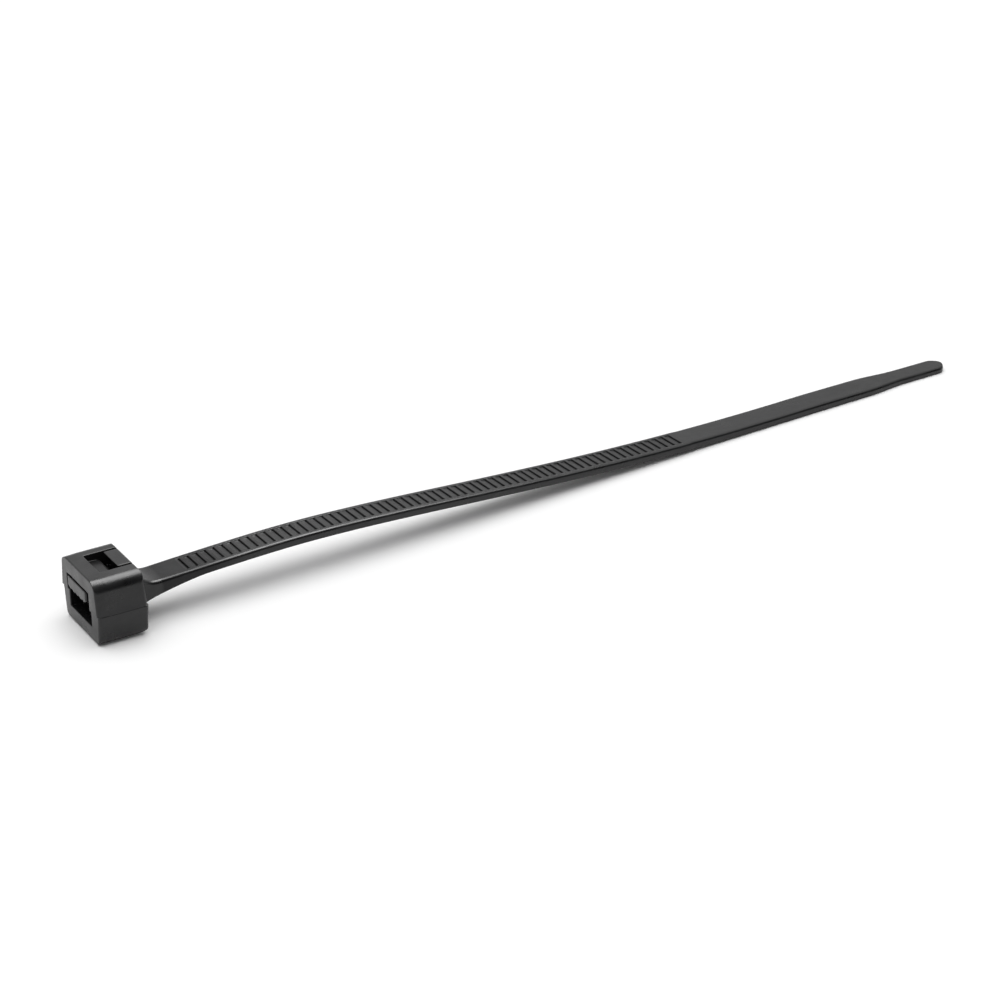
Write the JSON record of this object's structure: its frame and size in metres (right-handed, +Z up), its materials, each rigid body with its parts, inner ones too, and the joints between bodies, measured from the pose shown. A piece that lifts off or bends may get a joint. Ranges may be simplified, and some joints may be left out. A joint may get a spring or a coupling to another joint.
{
  "type": "cable tie",
  "caption": "Nylon cable tie with a block-shaped ratchet head and a long toothed strap, open and lying flat on a table.",
  "frame": {"origin": "centre of the head's flat underside, on the table", "axes": "+X along the strap from the head towards the tip, +Y across the strap, +Z up, towards the toothed side"},
  "size_m": [0.1269, 0.0108, 0.0078],
  "materials": {
    "nylon": "satin"
  },
  "bodies": {
    "root": {"cable_tie": "nylon"}
  },
  "joints": []
}
